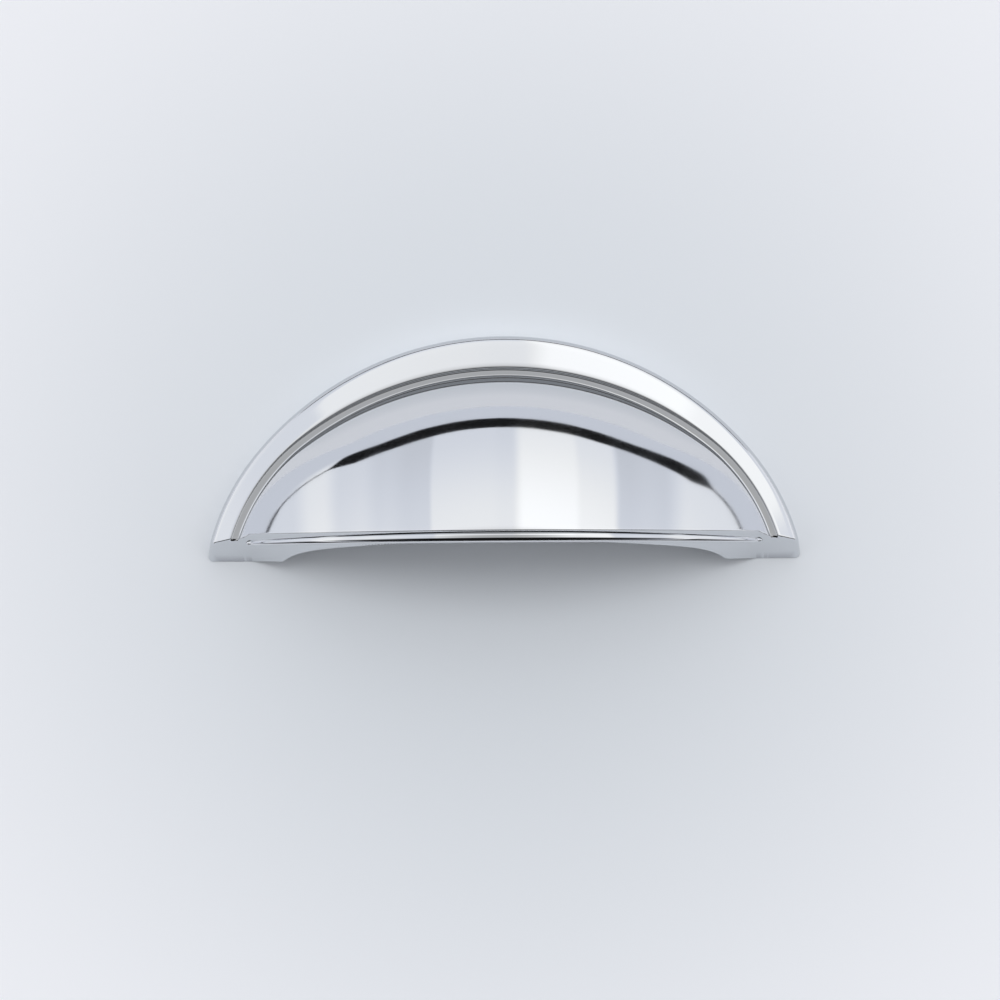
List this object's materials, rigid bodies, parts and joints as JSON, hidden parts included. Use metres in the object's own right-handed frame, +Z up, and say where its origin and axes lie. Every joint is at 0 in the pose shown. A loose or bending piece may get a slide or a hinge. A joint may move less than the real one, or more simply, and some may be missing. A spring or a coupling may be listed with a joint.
{
  "type": "drawer pull",
  "caption": "Half-moon cup pull: a chrome die casting with a bevelled arched backplate, a crowned cup open below, a beaded lip and tapped blind holes at the back.",
  "frame": {"origin": "midway between the two screw holes, on the flat mounting face", "axes": "+X along the pull, +Y into the drawer front, square to the mounting face, +Z up, so that the finger opening faces down"},
  "size_m": [0.0936, 0.0231, 0.0351],
  "materials": {
    "chrome": "polished chrome plate over a zinc die casting"
  },
  "bodies": {
    "root": {"cup_pull": "chrome"}
  },
  "joints": []
}
